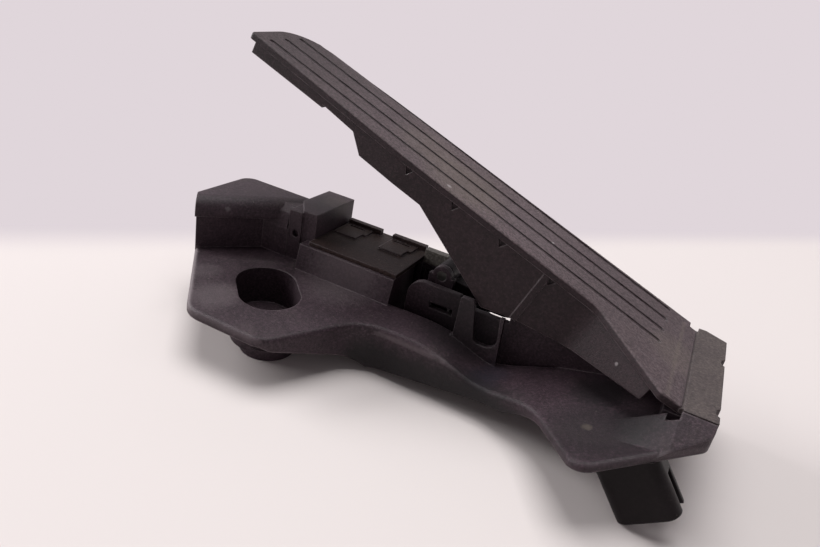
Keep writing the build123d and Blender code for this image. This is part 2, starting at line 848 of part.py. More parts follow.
# Heel clip: the fixed leaf of the hinge, with the bead that the tread turns on
with BuildPart() as heel_clip:
    with BuildSketch(side_plane(hinge_far_y)):
        with Locations((hinge_x, hinge_z)):
            Circle(hinge_bead_radius)
    extrude(amount=hinge_length)
    clip_leaf = rectangle_points(hinge_x + clip_toe_gap, clip_heel_x, ridge_top, clip_top)
    extrude(outline(side_plane(clip_far_y), clip_leaf), amount=clip_far_y - clip_near_y)
    clip_lip = rectangle_points(heel_x, clip_heel_x, lip_low_z, clip_top)
    extrude(outline(side_plane(clip_far_y), clip_lip), amount=clip_far_y - clip_near_y)
    far_corner = [
        (clip_heel_x - clip_chamfer_run, clip_far_y),
        (clip_heel_x, clip_far_y - clip_chamfer),
        (clip_heel_x, clip_far_y),
    ]
    extrude(outline(Plane.XY, far_corner), amount=tall, mode=Mode.SUBTRACT)
    for notch_y in clip_notches:
        notch = [
            (clip_heel_x, notch_y),
            (clip_heel_x - clip_notch_depth, notch_y + clip_notch_depth),
            (clip_heel_x - clip_notch_depth, notch_y + clip_notch_width - clip_notch_depth),
            (clip_heel_x, notch_y + clip_notch_width),
        ]
        extrude(outline(Plane.XY, notch), amount=tall, mode=Mode.SUBTRACT)

# Plug socket, slanting down and out under the heel tray
socket_across = Vector(cos(radians(socket_lean)), 0, sin(radians(socket_lean)))
socket_out = Vector(sin(radians(socket_lean)), 0, -cos(radians(socket_lean)))
socket_foot = Vector(socket_left_x, socket_near_y + socket_depth / 2, socket_foot_z)
socket_mouth = Plane(
    origin=socket_foot + socket_across * (socket_width / 2),
    x_dir=socket_across,
    z_dir=socket_out,
)
with BuildPart() as connector_socket:
    with BuildSketch(socket_mouth):
        RectangleRounded(socket_width, socket_depth, socket_corner)
    extrude(amount=-socket_length)
    with BuildSketch(socket_mouth):
        RectangleRounded(
            socket_width - 2 * socket_wall,
            socket_depth - 2 * socket_wall,
            socket_corner - socket_wall,
        )
    extrude(amount=-socket_cavity, mode=Mode.SUBTRACT)
    extrude(outline(side_plane(tall / 2), above_tray), amount=tall, mode=Mode.SUBTRACT)
    with BuildSketch(socket_mouth):
        with Locations((socket_width / 2, 0)):
            Rectangle(3 * socket_wall, socket_slot_width)
    extrude(amount=-socket_slot_length, mode=Mode.SUBTRACT)

# Blades of the plug socket
with BuildPart() as terminal_pins:
    with BuildSketch(socket_mouth.offset(-socket_cavity)):
        with GridLocations(terminal_pitch_x, terminal_pitch_y, terminal_columns, terminal_rows):
            Rectangle(terminal_width, terminal_thickness)
    extrude(amount=terminal_length)

# Steel axle of the rocker
with BuildPart() as pivot_pin:
    with BuildSketch(side_plane(far_ear_y)):
        with Locations((pivot_x, pivot_z)):
            Circle(pivot_pin_radius)
    extrude(amount=far_ear_y - near_ear_y)

# Shoe that drags on the rocker's hub
with BuildPart() as friction_shoe:
    shoe_points = rectangle_points(box_heel_x, pivot_x, shoe_low_z, shoe_low_z + shoe_height)
    extrude(outline(side_plane(shoe_far_y), shoe_points), amount=shoe_far_y - shoe_near_y)
    with BuildSketch(side_plane(shoe_far_y)):
        with Locations((pivot_x, pivot_z)):
            Circle(pivot_ear_radius + shoe_clearance)
    extrude(amount=shoe_far_y - shoe_near_y, mode=Mode.SUBTRACT)

# Cup that locates both springs on the trough floor
seat_radius = outer_spring_radius + outer_wire_radius + spring_gap
with BuildPart() as spring_seat:
    with BuildSketch(Plane.XY.offset(floor_top)):
        with Locations((spring_x, spring_y)):
            Circle(seat_radius + seat_wall)
    extrude(amount=seat_base + seat_rim)
    with BuildSketch(Plane.XY.offset(floor_top + seat_base)):
        with Locations((spring_x, spring_y)):
            Circle(seat_radius)
    extrude(amount=seat_rim, mode=Mode.SUBTRACT)

spring_low_z = floor_top + seat_base
spring_height = arm_underside_z - spring_low_z

# Outer return spring, its round wire drawn six-sided to keep the coil light
outer_rise = spring_height - 2 * outer_wire_radius
with BuildPart() as outer_return_spring:
    with BuildLine() as outer_path:
        Helix(
            outer_rise / outer_turns,
            outer_rise,
            outer_spring_radius,
            center=(spring_x, spring_y, spring_low_z + outer_wire_radius),
        )
    with BuildSketch(outer_path.line ^ 0):
        RegularPolygon(outer_wire_radius, wire_sides)
    sweep(is_frenet=True)

# Inner return spring, wound the other way so that the two can't tangle
inner_rise = spring_height - 2 * inner_wire_radius
with BuildPart() as inner_return_spring:
    with BuildLine() as inner_path:
        Helix(
            inner_rise / inner_turns,
            inner_rise,
            inner_spring_radius,
            center=(spring_x, spring_y, spring_low_z + inner_wire_radius),
            lefthand=True,
        )
    with BuildSketch(inner_path.line ^ 0):
        RegularPolygon(inner_wire_radius, wire_sides)
    sweep(is_frenet=True)

# Rocker: cam arm towards the heel, magnet arm down into the sensor box
cam_face = [cam_point(cam_overrun * step / cam_steps) for step in range(cam_steps + 1)]
bush_radius = pivot_pin_radius + bush_clearance + bush_wall
arm_tip = (pivot_x + arm_reach, cam_face[-1][1] + (pivot_x + arm_reach - cam_face[-1][0]) / 2)
with BuildPart() as sensor_rocker:
    with BuildSketch(side_plane(hub_far_y)):
        with Locations((pivot_x, pivot_z)):
            Circle(pivot_ear_radius)
    extrude(amount=hub_far_y - hub_near_y)
    with BuildSketch(side_plane(arm_far_y)):
        with BuildLine():
            cam = Spline(*cam_face)
            Polyline(
                cam @ 1,
                arm_tip,
                (arm_tip[0], arm_tip[1] - arm_tip_thickness),
                (nose_x, arm_underside_z),
                (pivot_x + 2 * pivot_ear_radius, arm_underside_z),
                (pivot_x - pivot_ear_radius / 2, pivot_z - pivot_ear_radius / 2),
                (pivot_x + pivot_ear_radius / 2, pivot_z - pivot_ear_radius / 2),
                cam @ 0,
            )
        make_face()
    extrude(amount=arm_far_y - arm_near_y)
    with BuildSketch(Plane.XY.offset(arm_underside_z)):
        with Locations((spring_x, spring_y)):
            Circle(seat_radius)
    extrude(amount=arm_pad)
    magnet_arm = Plane(
        origin=(pivot_x, magnet_arm_far_y, pivot_z),
        x_dir=(cos(radians(magnet_arm_angle)), 0, sin(radians(magnet_arm_angle))),
        z_dir=(0, -1, 0),
    )
    with BuildSketch(magnet_arm):
        with Locations((magnet_arm_reach / 2, 0)):
            Rectangle(magnet_arm_reach, magnet_arm_height)
        with Locations((magnet_arm_reach, 0)):
            Circle(magnet_radius + magnet_rim)
    extrude(amount=magnet_arm_far_y - magnet_arm_near_y)
    with BuildSketch(side_plane(hub_far_y)):
        with Locations((pivot_x, pivot_z)):
            Circle(pivot_pin_radius + running_gap)
    extrude(amount=hub_far_y - hub_near_y, mode=Mode.SUBTRACT)
    for bush_y in (hub_far_y, hub_near_y + bush_length):
        with BuildSketch(side_plane(bush_y)):
            with Locations((pivot_x, pivot_z)):
                Circle(bush_radius)
        extrude(amount=bush_length, mode=Mode.SUBTRACT)

# Plain bearings in the rocker's hub
with BuildPart() as rocker_bushes:
    for bush_y in (hub_far_y, hub_near_y + bush_length):
        with BuildSketch(side_plane(bush_y)):
            with Locations((pivot_x, pivot_z)):
                Circle(bush_radius)
                Circle(pivot_pin_radius + bush_clearance, mode=Mode.SUBTRACT)
        extrude(amount=bush_length)

# Magnet on the rocker's short arm
with BuildPart() as rotor_magnet:
    with BuildSketch(side_plane(magnet_arm_near_y)):
        with Locations((magnet_x, magnet_z)):
            Circle(magnet_radius)
    extrude(amount=magnet_thickness)

# Tread outline on its own plane, where x is minus the distance from the hinge
tread_points = [
    (-tread_length, tread_tip_near_y),
    (-tread_waist, tread_near_y),
    (-flare_start, tread_near_y),
    (-flare_end, flare_near_y),
    (-hinge_bead_radius, hinge_near_y),
    (0, hinge_near_y),
    (0, hinge_far_y),
    (-tread_heel_step, hinge_far_y),
    (-tread_heel_step, tread_far_y),
    (-tread_length, tread_tip_far_y),
]
tread_radii = [2, 0, 12, 3, 0, 0, 0, 0, 0, tread_tip_radius]

# Ring of webs under the tread, and its lower edge in side view
web_points = [
    (-tread_length + web_tip_inset, tread_tip_near_y + web_tip_inset),
    (-tread_waist, near_web_y),
    (-flare_start, near_web_y),
    (-skirt_end_along, skirt_end_y),
    (-skirt_heel_margin, skirt_end_y + web_wall),
    (-skirt_heel_margin, far_web_y),
    (-tread_waist, far_web_y),
    (-tread_length + web_tip_inset, tread_tip_far_y - web_tip_inset),
]
web_radii = [0, 0, 12, 0, 0, 0, 0, tread_tip_radius - web_tip_inset]
web_edge = [
    (-tread_length, tread_under),
    (-tread_length, -skirt_tip_depth),
    (-skirt_nick_along, -skirt_depth),
    (-skirt_nick_along, -skirt_depth + skirt_nick),
    (-step_along, -skirt_depth + skirt_nick / 2),
    (-step_along + step_run, -step_depth),
    (-lever_start_along, -step_depth),
    (-lever_along, -lever_depth),
    (-lever_heel_along, -lever_heel_depth),
    (-flare_start, -flare_depth),
    (-skirt_end_along, -skirt_end_depth),
    (0, -skirt_end_depth),
    (0, tread_under),
]
web_low = tread_plane.offset(-lever_depth)
web_tall = lever_depth + tread_under
with BuildPart() as web_ring:
    extrude(outline(web_low, web_points, web_radii), amount=web_tall)
    extrude(outline(web_low, web_points, web_radii, web_wall), amount=web_tall, mode=Mode.SUBTRACT)
    extrude(outline(web_plane(tall / 2), web_edge), amount=tall, mode=Mode.INTERSECT)

# Pedal: tread, webs, ribs and drive nose in one moulding
with BuildPart() as pedal_plate:
    extrude(outline(tread_plane.offset(tread_under), tread_points, tread_radii), amount=tread_thickness)
    tread_edges = pedal_plate.edges().filter_by(
        lambda e: abs(tread_plane.to_local_coords(e.center()).Z - tread_top) < 0.01
    )
    fillet(tread_edges.filter_by(Axis.Y, reverse=True), radius=tread_edge_radius)
    groove_length = tread_length - groove_heel_margin - groove_tip_margin
    groove_middle = -(groove_heel_margin + groove_length / 2)
    for groove in range(groove_count):
        with BuildSketch(tread_plane.offset(tread_top)):
            with Locations((groove_middle, groove_first_y + groove * groove_pitch)):
                SlotOverall(groove_length, groove_width)
        extrude(amount=-groove_depth, mode=Mode.SUBTRACT)
    add(web_ring.part)

    # Cross ribs, and the small notches where they meet the near web
    stations = [station_first + station_pitch * index for index in range(station_count)]
    for along in stations:
        rib = rectangle_points(
            -along - station_rib_wall / 2,
            -along + station_rib_wall / 2,
            near_web_y + web_wall / 2,
            far_web_y - web_wall / 2,
        )
        extrude(outline(tread_plane.offset(-station_rib_depth), rib), amount=station_rib_depth + tread_under)
        notch = [
            (-along - notch_width / 2, tread_under),
            (-along + notch_width / 2, tread_under),
            (-along, tread_under - notch_depth),
        ]
        notch_plane = web_plane(near_web_y + web_wall / 2)
        extrude(outline(notch_plane, notch), amount=web_wall / 2, mode=Mode.SUBTRACT)

    # Stop rib over the post
    stop_rib = rectangle_points(
        -stop_along - stop_rib_wall / 2,
        -stop_along + stop_rib_wall / 2,
        post_near_y,
        far_web_y - web_wall / 2,
    )
    extrude(outline(tread_plane.offset(-stop_depth), stop_rib), amount=stop_depth + tread_under)

    # Upright stiffener on the near web
    stiffener = rectangle_points(
        -lever_heel_along - stiffener_wall / 2,
        -lever_heel_along + stiffener_wall / 2,
        -lever_heel_depth,
        tread_under,
    )
    extrude(outline(web_plane(near_web_y), stiffener), amount=stiffener_height)

    # Central rib with the drive nose
    nose_place = turned(hinge_x - nose_x, hinge_z - nose_z, tread_angle)
    nose_along = nose_place[0]
    nose_depth = nose_place[1]
    with BuildSketch(web_plane(nose_far_y)):
        with BuildLine():
            Polyline(
                (-nose_rib_toe, tread_under),
                (-nose_rib_knee, -nose_rib_knee_depth),
                (-nose_along - nose_radius, -nose_depth),
                (-nose_along + nose_radius, -nose_depth),
                (-nose_rib_heel, tread_under),
                close=True,
            )
        make_face()
        with Locations((-nose_along, -nose_depth)):
            Circle(nose_radius)
    extrude(amount=nose_far_y - nose_near_y)

    # Socket round the hinge bead
    with BuildSketch(side_plane(hinge_far_y + running_gap)):
        with Locations((hinge_x, hinge_z)):
            Circle(hinge_bead_radius + hinge_clearance)
    extrude(amount=hinge_length + 2 * running_gap, mode=Mode.SUBTRACT)

pieces = {
    "base_housing": base_housing,
    "mounting_sleeve": mounting_sleeve,
    "sensor_lid": sensor_lid,
    "lid_seal": lid_seal,
    "circuit_board": circuit_board,
    "sensor_chips": sensor_chips,
    "heel_clip": heel_clip,
    "connector_socket": connector_socket,
    "terminal_pins": terminal_pins,
    "pivot_pin": pivot_pin,
    "friction_shoe": friction_shoe,
    "spring_seat": spring_seat,
    "outer_return_spring": outer_return_spring,
    "inner_return_spring": inner_return_spring,
    "sensor_rocker": sensor_rocker,
    "rocker_bushes": rocker_bushes,
    "rotor_magnet": rotor_magnet,
    "pedal_plate": pedal_plate,
}
os.makedirs("parts", exist_ok=True)
for name, piece in pieces.items():
    piece.part.label = name
    export_step(piece.part, f"parts/{name}.step")
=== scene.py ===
import bpy
import json
from math import radians
from mathutils import Matrix, Vector

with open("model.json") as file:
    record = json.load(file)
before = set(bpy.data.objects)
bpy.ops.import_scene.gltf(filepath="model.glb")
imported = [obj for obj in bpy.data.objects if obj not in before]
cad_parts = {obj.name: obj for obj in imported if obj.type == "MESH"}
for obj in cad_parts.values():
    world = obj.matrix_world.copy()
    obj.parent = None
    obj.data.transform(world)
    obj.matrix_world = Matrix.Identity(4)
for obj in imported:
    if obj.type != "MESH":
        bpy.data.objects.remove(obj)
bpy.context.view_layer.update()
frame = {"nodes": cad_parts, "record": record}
print("frame loaded:", len(frame["nodes"]), "nodes")


# small helpers for node trees

def addNode(tree, kind, **settings):
    node = tree.nodes.new(kind)
    for name, value in settings.items():
        setattr(node, name, value)
    return node


def setInputs(node, **values):
    for name, value in values.items():
        node.inputs[name.replace("_", " ")].default_value = value
    return node


def joinUp(tree, *pairs):
    for start, end in pairs:
        tree.links.new(start, end)


def feed(tree, socket, value):  # another node's socket is linked, a plain value is set
    if isinstance(value, bpy.types.NodeSocket):
        tree.links.new(value, socket)
    else:
        socket.default_value = value


def makeGroup(name, inputs, outputs):
    group = bpy.data.node_groups.new(name, "ShaderNodeTree")
    for label, kind, value in inputs:
        socket = group.interface.new_socket(label, in_out="INPUT", socket_type=kind)
        if value is not None:
            socket.default_value = value
    for label, kind in outputs:
        group.interface.new_socket(label, in_out="OUTPUT", socket_type=kind)
    return group, group.nodes.new("NodeGroupInput"), group.nodes.new("NodeGroupOutput")


def placeGroup(tree, group, **values):
    return setInputs(addNode(tree, "ShaderNodeGroup", node_tree=group), **values)


def mathNode(tree, operation, first, second):
    node = addNode(tree, "ShaderNodeMath", operation=operation)
    feed(tree, node.inputs[0], first)
    feed(tree, node.inputs[1], second)
    return node.outputs[0]


def vectorNode(tree, operation, first, second):
    node = addNode(tree, "ShaderNodeVectorMath", operation=operation)
    feed(tree, node.inputs[0], first)
    feed(tree, node.inputs[1], second)
    return node


def gainNode(tree, value, gain, base):
    return mathNode(tree, "ADD", mathNode(tree, "MULTIPLY", value, gain), base)


def rampNode(tree, source, low, high):
    node = addNode(tree, "ShaderNodeMapRange", interpolation_type="SMOOTHSTEP")
    feed(tree, node.inputs["Value"], source)
    return setInputs(node, From_Min=low, From_Max=high).outputs["Result"]


def noiseNode(tree, place, scale, detail, roughness):
    node = setInputs(addNode(tree, "ShaderNodeTexNoise"), Detail=detail, Roughness=roughness)
    feed(tree, node.inputs["Vector"], place)
    feed(tree, node.inputs["Scale"], scale)
    return node.outputs["Fac"]


def cellNode(tree, place, scale):
    node = setInputs(addNode(tree, "ShaderNodeTexVoronoi"), Randomness=1.0)
    feed(tree, node.inputs["Vector"], place)
    feed(tree, node.inputs["Scale"], scale)
    return node.outputs["Distance"]


# share of the surface that a noise covers, with a soft border
def coverMask(tree, noise, cover, fade):
    spread = mathNode(tree, "SUBTRACT", 1.0, cover)
    return rampNode(tree, mathNode(tree, "SUBTRACT", noise, spread), *fade)


# faces that look up
def facingUp(tree, coords, span):
    split = addNode(tree, "ShaderNodeSeparateXYZ")
    joinUp(tree, (coords.outputs["Normal"], split.inputs[0]))
    return rampNode(tree, split.outputs["Z"], *span)


mixSockets = {"factor": 0, "under": 6, "over": 7, "result": 2}  # the colour sockets of a Mix node


def tint(tree, under, over, mask, strength):
    mix = addNode(tree, "ShaderNodeMix", data_type="RGBA", blend_type="MIX")
    feed(tree, mix.inputs[mixSockets["factor"]], mathNode(tree, "MULTIPLY", mask, strength))
    feed(tree, mix.inputs[mixSockets["under"]], under)
    feed(tree, mix.inputs[mixSockets["over"]], over)
    return mix.outputs[mixSockets["result"]]


def colour(red, green, blue):
    return (red, green, blue, 1.0)


def scaledColour(shade, factor):
    return colour(*(factor * part for part in shade[:3]))


def newMaterial(name):
    material = bpy.data.materials.new(name)
    material.use_nodes = True
    return material, material.node_tree, material.node_tree.nodes["Principled BSDF"]


# grain of a spark-eroded mould, with slow changes of tone over the surface
# a noise is given by its detail and roughness, and a span by its two ends
grainLook = {
    "size": 0.0004,
    "toneSize": 0.03,
    "fine": (3.0, 0.6),
    "slow": (5.0, 0.65),
    "speckle": (2.0, 0.75),
    "speckleScale": 0.3,  # of the fine grain's scale
    "pitScale": 0.45,
    "pitDepth": 0.5,
}


def makeMouldGrain(look):
    group, given, out = makeGroup(
        "mouldGrain",
        [("Size", "NodeSocketFloat", look["size"]), ("Tone Size", "NodeSocketFloat", look["toneSize"])],
        [("Height", "NodeSocketFloat"), ("Tone", "NodeSocketFloat"), ("Speckle", "NodeSocketFloat")],
    )
    place = addNode(group, "ShaderNodeTexCoord").outputs["Object"]
    fineScale = mathNode(group, "DIVIDE", 1.0, given.outputs["Size"])
    slowScale = mathNode(group, "DIVIDE", 1.0, given.outputs["Tone Size"])
    speckleScale = mathNode(group, "MULTIPLY", fineScale, look["speckleScale"])
    pitScale = mathNode(group, "MULTIPLY", fineScale, look["pitScale"])
    fine = noiseNode(group, place, fineScale, *look["fine"])
    slow = noiseNode(group, place, slowScale, *look["slow"])
    speckle = noiseNode(group, place, speckleScale, *look["speckle"])
    pits = mathNode(group, "MULTIPLY", cellNode(group, place, pitScale), look["pitDepth"])
    height = mathNode(group, "ADD", fine, pits)
    joinUp(
        group,
        (height, out.inputs["Height"]),
        (slow, out.inputs["Tone"]),
        (speckle, out.inputs["Speckle"]),
    )
    return group


# rounded look of a moulded edge, and a mask of where it has rubbed bright, which also paints the edge's
# highlight
edgeLook = {
    "radius": 0.0009,
    "samples": 6,
    "patchSize": 0.012,
    "patch": (6.0, 0.7),
    "cover": 0.5,
    "fade": (-0.1, 0.15),
    "bend": (0.01, 0.18),  # from flat to the middle of an edge
}


def makeEdgeWearAndHighlight(look):
    group, given, out = makeGroup(
        "edgeWearAndHighlight",
        [("Patch Size", "NodeSocketFloat", look["patchSize"]), ("Cover", "NodeSocketFloat", look["cover"])],
        [("Mask", "NodeSocketFloat"), ("Normal", "NodeSocketVector")],
    )
    place = addNode(group, "ShaderNodeTexCoord").outputs["Object"]
    flat = addNode(group, "ShaderNodeNewGeometry").outputs["Normal"]
    bevel = setInputs(addNode(group, "ShaderNodeBevel", samples=look["samples"]), Radius=look["radius"])
    rounded = bevel.outputs["Normal"]
    likeness = vectorNode(group, "DOT_PRODUCT", rounded, flat).outputs["Value"]
    edge = rampNode(group, mathNode(group, "SUBTRACT", 1.0, likeness), *look["bend"])
    patchScale = mathNode(group, "DIVIDE", 1.0, given.outputs["Patch Size"])
    patches = noiseNode(group, place, patchScale, *look["patch"])
    patch = coverMask(group, patches, given.outputs["Cover"], look["fade"])
    mask = mathNode(group, "MULTIPLY", edge, patch)
    joinUp(group, (mask, out.inputs["Mask"]), (rounded, out.inputs["Normal"]))
    return group


# dust that has settled on faces that look up, with a few larger specks
dustLook = {
    "patchSize": 0.02,
    "cloud": (8.0, 0.72),
    "cover": 0.4,
    "fade": (-0.12, 0.2),
    "facing": (0.2, 0.9),
    "gritScale": 1400.0,
    "grit": (2.0, 0.5),
    "gritSpan": (0.3, 0.75),
    "speckScale": 170.0,
    "speckSpan": (0.07, 0.03),
}


def makeDust(look):
    group, given, out = makeGroup(
        "settledDust",
        [("Patch Size", "NodeSocketFloat", look["patchSize"]), ("Cover", "NodeSocketFloat", look["cover"])],
        [("Mask", "NodeSocketFloat"), ("Specks", "NodeSocketFloat")],
    )
    coords = addNode(group, "ShaderNodeTexCoord")
    place = coords.outputs["Object"]
    facing = facingUp(group, coords, look["facing"])
    cloudScale = mathNode(group, "DIVIDE", 1.0, given.outputs["Patch Size"])
    cloud = noiseNode(group, place, cloudScale, *look["cloud"])
    patch = coverMask(group, cloud, given.outputs["Cover"], look["fade"])
    grit = rampNode(group, noiseNode(group, place, look["gritScale"], *look["grit"]), *look["gritSpan"])
    mask = mathNode(group, "MULTIPLY", mathNode(group, "MULTIPLY", patch, grit), facing)
    specks = rampNode(group, cellNode(group, place, look["speckScale"]), *look["speckSpan"])
    specks = mathNode(group, "MULTIPLY", specks, facing)
    joinUp(group, (mask, out.inputs["Mask"]), (specks, out.inputs["Specks"]))
    return group


# top faces rubbed grey by shoes, in soft blotches, less towards the tip and the heel
walkLook = {
    "facing": (0.3, 0.85),
    "blotchScale": 28.0,
    "blotch": (5.0, 0.6),
    "blotchGain": 0.6,
    "blotchBase": 0.5,
    "tip": (-0.05, 0.05),  # metres along the base
    "tipGain": 0.6,
    "tipBase": 0.4,
    "heel": (0.08, 0.14),
    "heelLoss": 0.3,
}


def makeWalkedTop(look):
    group, _, out = makeGroup("walkedTop", [], [("Mask", "NodeSocketFloat")])
    coords = addNode(group, "ShaderNodeTexCoord")
    place = coords.outputs["Object"]
    split = addNode(group, "ShaderNodeSeparateXYZ")
    joinUp(group, (place, split.inputs[0]))
    along = split.outputs["X"]
    facing = facingUp(group, coords, look["facing"])
    blotch = noiseNode(group, place, look["blotchScale"], *look["blotch"])
    amount = gainNode(group, blotch, look["blotchGain"], look["blotchBase"])
    ball = gainNode(group, rampNode(group, along, *look["tip"]), look["tipGain"], look["tipBase"])
    heel = mathNode(group, "MULTIPLY", rampNode(group, along, *look["heel"]), look["heelLoss"])
    footfall = mathNode(group, "SUBTRACT", ball, heel)
    walked = mathNode(group, "MULTIPLY", mathNode(group, "MULTIPLY", facing, amount), footfall)
    joinUp(group, (walked, out.inputs["Mask"]))
    return group


# short fine scratches that run one way
scratchLook = {
    "stretch": (40.0, 900.0, 900.0),
    "streak": (2.0, 0.5),
    "streakSpan": (0.6, 0.72),
    "areaScale": 45.0,
    "area": (3.0, 0.6),
    "cover": 0.3,
    "fade": (-0.1, 0.1),
}


def makeScratches(look):
    group, given, out = makeGroup(
        "fineScratches",
        [("Turn", "NodeSocketVector", None), ("Cover", "NodeSocketFloat", look["cover"])],
        [("Mask", "NodeSocketFloat")],
    )
    place = addNode(group, "ShaderNodeTexCoord").outputs["Object"]
    mapping = setInputs(addNode(group, "ShaderNodeMapping"), Scale=look["stretch"])
    joinUp(
        group,
        (place, mapping.inputs["Vector"]),
        (given.outputs["Turn"], mapping.inputs["Rotation"]),
    )
    streak = noiseNode(group, mapping.outputs["Vector"], 1.0, *look["streak"])
    line = rampNode(group, streak, *look["streakSpan"])
    area = noiseNode(group, place, look["areaScale"], *look["area"])
    here = coverMask(group, area, given.outputs["Cover"], look["fade"])
    joinUp(group, (mathNode(group, "MULTIPLY", line, here), out.inputs["Mask"]))
    return group


# mask with a ragged border, full near a mark and gone at its reach
def raggedMask(tree, place, away, reach, look):
    rough = noiseNode(tree, place, look["roughScale"], *look["rough"])
    near = mathNode(tree, "SUBTRACT", 1.0, mathNode(tree, "DIVIDE", away, reach))
    ragged = mathNode(tree, "ADD", near, mathNode(tree, "SUBTRACT", rough, look["roughMiddle"]))
    return rampNode(tree, ragged, *look["fade"])


# one spot at a place on the piece, used for rubbed marks, dust, painted shade and painted light
spotLook = {
    "reach": 0.003,
    "roughScale": 700.0,
    "rough": (4.0, 0.7),
    "roughMiddle": 0.5,
    "fade": (0.1, 0.7),
}


def makeRubAndPaintedLightSpot(look):
    group, given, out = makeGroup(
        "rubAndPaintedLightSpot",
        [("Place", "NodeSocketVector", None), ("Reach", "NodeSocketFloat", look["reach"])],
        [("Mask", "NodeSocketFloat")],
    )
    place = addNode(group, "ShaderNodeTexCoord").outputs["Object"]
    away = vectorNode(group, "DISTANCE", place, given.outputs["Place"]).outputs["Value"]
    mask = raggedMask(group, place, away, given.outputs["Reach"], look)
    joinUp(group, (mask, out.inputs["Mask"]))
    return group


# one line from a place along the piece, used for rubbed marks, dust, painted shade and painted highlights
lineLook = {
    "reach": 0.002,
    "roughScale": 260.0,
    "rough": (5.0, 0.7),
    "roughMiddle": 0.5,
    "fade": (0.1, 0.8),
}


def makeRubAndPaintedLightLine(look):
    group, given, out = makeGroup(
        "rubAndPaintedLightLine",
        [
            ("Start", "NodeSocketVector", None),
            ("Run", "NodeSocketVector", None),
            ("Reach", "NodeSocketFloat", look["reach"]),
        ],
        [("Mask", "NodeSocketFloat")],
    )
    place = addNode(group, "ShaderNodeTexCoord").outputs["Object"]
    run = given.outputs["Run"]
    fromStart = vectorNode(group, "SUBTRACT", place, given.outputs["Start"]).outputs["Vector"]
    onRun = vectorNode(group, "DOT_PRODUCT", fromStart, run).outputs["Value"]
    runSquared = vectorNode(group, "DOT_PRODUCT", run, run).outputs["Value"]
    share = mathNode(group, "DIVIDE", onRun, runSquared)
    share = mathNode(group, "MINIMUM", mathNode(group, "MAXIMUM", share, 0.0), 1.0)
    foot = addNode(group, "ShaderNodeVectorMath", operation="SCALE")
    joinUp(group, (run, foot.inputs[0]), (share, foot.inputs["Scale"]))
    away = vectorNode(group, "DISTANCE", foot.outputs["Vector"], fromStart).outputs["Value"]
    mask = raggedMask(group, place, away, given.outputs["Reach"], look)
    joinUp(group, (mask, out.inputs["Mask"]))
    return group


mouldGrain = makeMouldGrain(grainLook)
edgeWearAndHighlight = makeEdgeWearAndHighlight(edgeLook)
settledDust = makeDust(dustLook)
walkedTop = makeWalkedTop(walkLook)
fineScratches = makeScratches(scratchLook)
rubAndPaintedLightSpot = makeRubAndPaintedLightSpot(spotLook)
rubAndPaintedLightLine = makeRubAndPaintedLightLine(lineLook)
print("node groups built")


# moulded plastic with grain, worn edges that also carry a painted highlight, dust, scratches, rubbed marks
# and marks of painted shade and painted light
def makePlastic(name, look):
    material, tree, shader = newMaterial(name)
    grain = placeGroup(tree, mouldGrain, Size=look["grainSize"], Tone_Size=look["toneSize"])
    wear = placeGroup(tree, edgeWearAndHighlight, Cover=look["wearCover"])
    dust = placeGroup(tree, settledDust, Patch_Size=look["dustSize"], Cover=look["dustCover"])
    scratch = placeGroup(tree, fineScratches, Turn=look["scratchTurn"], Cover=look["scratchCover"])
    speckle = grain.outputs["Speckle"]
    streaks = scratch.outputs["Mask"]

    tone = rampNode(tree, grain.outputs["Tone"], *look["toneSpan"])
    shade = tint(tree, look["dark"], look["light"], tone, 1.0)
    paler = scaledColour(look["light"], look["palerBy"])
    deeper = scaledColour(look["dark"], look["deeperBy"])
    shade = tint(tree, shade, paler, rampNode(tree, speckle, *look["paleSpan"]), look["speckle"])
    shade = tint(tree, shade, deeper, rampNode(tree, speckle, *look["deepSpan"]), look["speckle"])
    if look["top"]:
        walked = placeGroup(tree, walkedTop).outputs["Mask"]
        streaks = mathNode(tree, "MULTIPLY", streaks, walked)
        mottle = rampNode(tree, speckle, *look["mottleSpan"])
        mottle = gainNode(tree, mottle, look["mottleGain"], look["mottleBase"])
        rubbed = mathNode(tree, "MULTIPLY", walked, mottle)
        shade = tint(tree, shade, look["topColour"], rubbed, look["top"])
        for place, reach, strength, mark in look["topSpots"]:
            spot = placeGroup(tree, rubAndPaintedLightSpot, Place=place, Reach=reach)
            onTop = mathNode(tree, "MULTIPLY", spot.outputs["Mask"], walked)
            shade = tint(tree, shade, mark, onTop, strength)
    # edges lightened by wear, which also paints their highlight
    shade = tint(tree, shade, look["wornAndHighlightColour"], wear.outputs["Mask"], look["wear"])
    shade = tint(tree, shade, look["wornAndHighlightColour"], streaks, look["scratches"])
    shade = tint(tree, shade, look["dustColour"], dust.outputs["Mask"], look["dust"])
    shade = tint(tree, shade, look["dustColour"], dust.outputs["Specks"], look["specks"])
    for place, reach, strength, mark in look["spots"]:
        spot = placeGroup(tree, rubAndPaintedLightSpot, Place=place, Reach=reach)
        shade = tint(tree, shade, mark, spot.outputs["Mask"], strength)
    for start, run, reach, strength, mark in look["lines"]:
        line = placeGroup(tree, rubAndPaintedLightLine, Start=start, Run=run, Reach=reach)
        shade = tint(tree, shade, mark, line.outputs["Mask"], strength)

    least = look["rough"] - look["roughSpread"] / 2
    rough = gainNode(tree, grain.outputs["Tone"], look["roughSpread"], least)
    rougher = mathNode(tree, "MULTIPLY", dust.outputs["Mask"], look["dustRough"])
    smoother = mathNode(tree, "MULTIPLY", wear.outputs["Mask"], look["wearSmooth"])
    rough = mathNode(tree, "SUBTRACT", mathNode(tree, "ADD", rough, rougher), smoother)
    bump = setInputs(addNode(tree, "ShaderNodeBump"), Strength=look["grain"], Distance=look["grainDepth"])
    joinUp(
        tree,
        (shade, shader.inputs["Base Color"]),
        (rough, shader.inputs["Roughness"]),
        (grain.outputs["Height"], bump.inputs["Height"]),
        (wear.outputs["Normal"], bump.inputs["Normal"]),
        (bump.outputs["Normal"], shader.inputs["Normal"]),
    )
    shader.inputs["Specular IOR Level"].default_value = look["gloss"]
    return material


